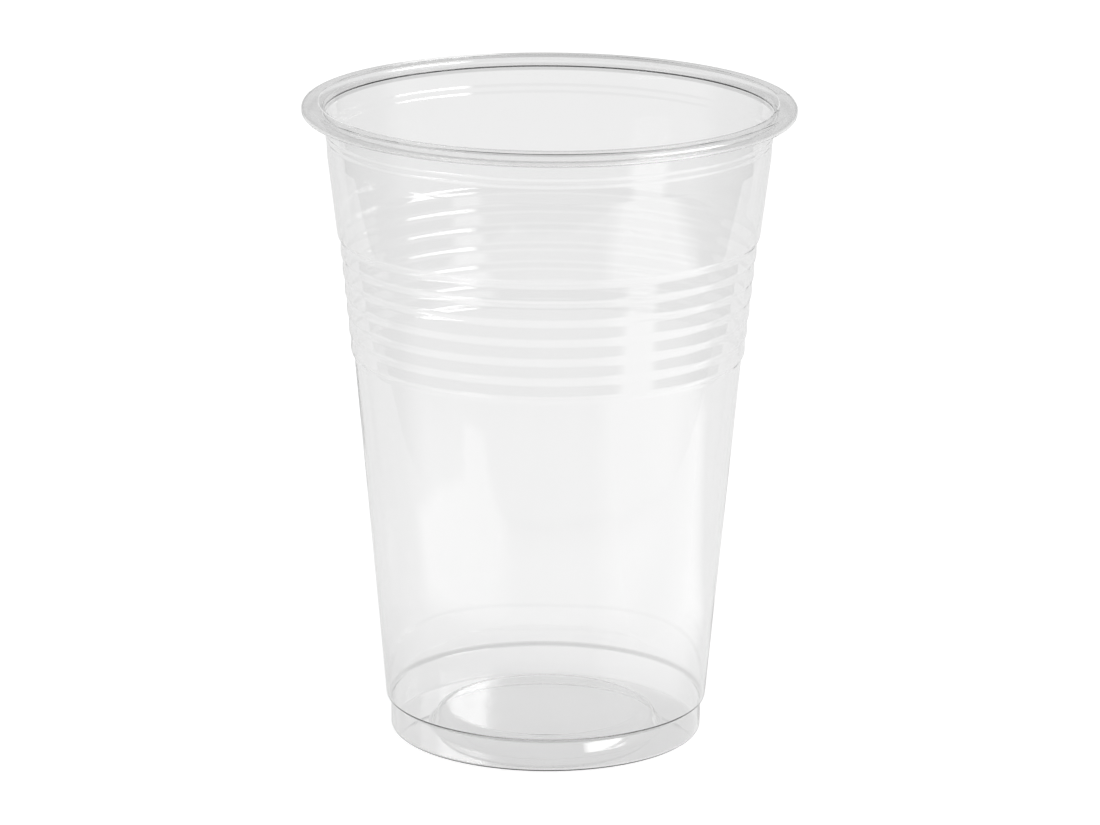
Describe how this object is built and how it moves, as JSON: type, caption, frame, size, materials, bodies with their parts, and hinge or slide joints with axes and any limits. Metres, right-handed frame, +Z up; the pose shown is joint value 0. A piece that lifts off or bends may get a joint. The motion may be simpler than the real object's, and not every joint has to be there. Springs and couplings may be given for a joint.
{
  "type": "disposable cup",
  "caption": "Clear thin-walled disposable drinking cup with a rolled rim, a ribbed grip band and a stepped foot.",
  "frame": {"origin": "on the table under the cup's axis, at the middle of the foot", "axes": "+Z up along the cup's axis, from the foot to the mouth; X and Y are alike, because the cup is round"},
  "size_m": [0.0702, 0.0702, 0.0926],
  "materials": {
    "clear_plastic": "clear gloss"
  },
  "bodies": {
    "root": {"cup": "clear_plastic"}
  },
  "joints": []
}
